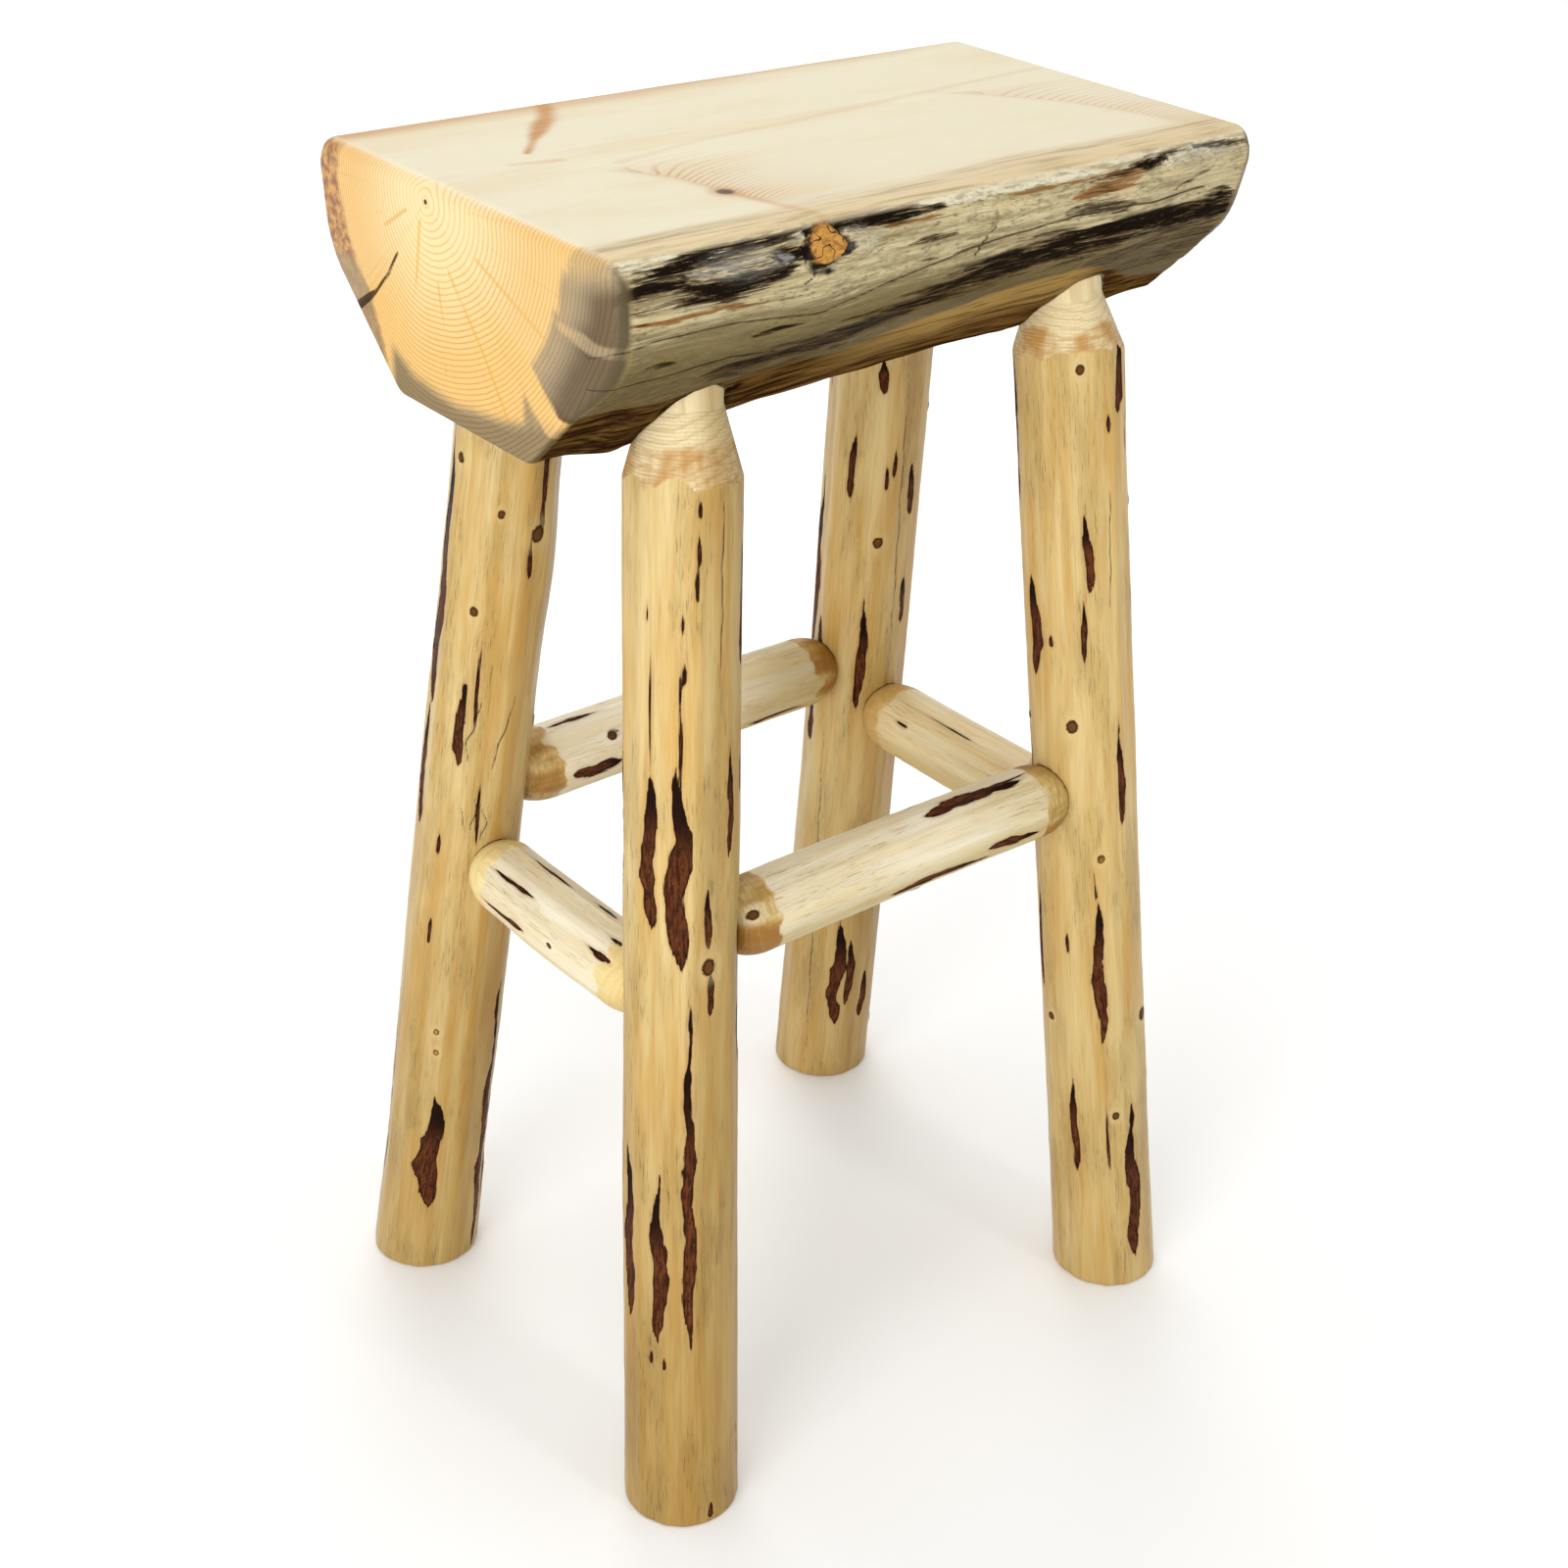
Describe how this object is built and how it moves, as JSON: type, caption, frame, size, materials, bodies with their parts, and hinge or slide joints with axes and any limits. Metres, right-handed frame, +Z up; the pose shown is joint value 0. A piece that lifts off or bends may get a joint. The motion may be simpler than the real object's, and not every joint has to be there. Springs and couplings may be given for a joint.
{
  "type": "log bar stool",
  "caption": "Rustic backless bar stool: a half-log seat with a live edge on splayed peeled-pole legs, tied by rungs tenoned into the legs.",
  "frame": {"origin": "on the floor, under the middle of the box that the stool fills", "axes": "+Z up; +X along the seat's length, towards its slimmer end; -Y towards the front, the side with the large live-edge knot"},
  "size_m": [0.441, 0.3648, 0.762],
  "materials": {
    "seat": "clear satin varnish over sawn and peeled lodgepole pine",
    "leg": "clear satin varnish over hand-peeled pine pole with traces of inner bark",
    "rung": "clear satin varnish over hand-peeled pine pole"
  },
  "bodies": {
    "root": {"seat_half_log": "seat", "leg_front_left": "leg", "leg_front_right": "leg", "leg_back_left": "leg", "leg_back_right": "leg", "rung_front": "rung", "rung_back": "rung", "rung_left": "rung", "rung_right": "rung"}
  },
  "joints": []
}
